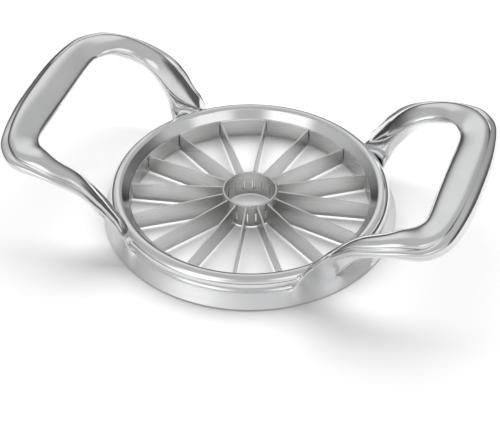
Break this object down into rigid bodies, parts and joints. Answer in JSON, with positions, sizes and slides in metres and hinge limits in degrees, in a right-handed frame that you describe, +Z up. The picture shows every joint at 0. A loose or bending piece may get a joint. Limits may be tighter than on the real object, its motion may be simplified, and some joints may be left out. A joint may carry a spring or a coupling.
{
  "type": "apple slicer",
  "caption": "Round hand-pressed apple slicer with radial blades, a central corer tube and a cast ring that carries two loop handles.",
  "frame": {"origin": "centre of the ring on the surface that it stands on", "axes": "+X along the two handles, +Z up along the corer tube, +Y across the handles"},
  "size_m": [0.1762, 0.11, 0.0399],
  "materials": {
    "cast_metal": "polished die casting, satin on the outer wall",
    "band_steel": "fine brushing round the band",
    "tube_steel": "satin, fine turning marks",
    "blade_steel": "satin, brushed along the blade"
  },
  "bodies": {
    "root": {"cast_frame": "cast_metal", "blade_band": "band_steel", "corer_tube": "tube_steel", "blade_01": "blade_steel", "blade_02": "blade_steel", "blade_03": "blade_steel", "blade_04": "blade_steel", "blade_05": "blade_steel", "blade_06": "blade_steel", "blade_07": "blade_steel", "blade_08": "blade_steel", "blade_09": "blade_steel", "blade_10": "blade_steel", "blade_11": "blade_steel", "blade_12": "blade_steel", "blade_13": "blade_steel", "blade_14": "blade_steel", "blade_15": "blade_steel", "blade_16": "blade_steel"}
  },
  "joints": []
}
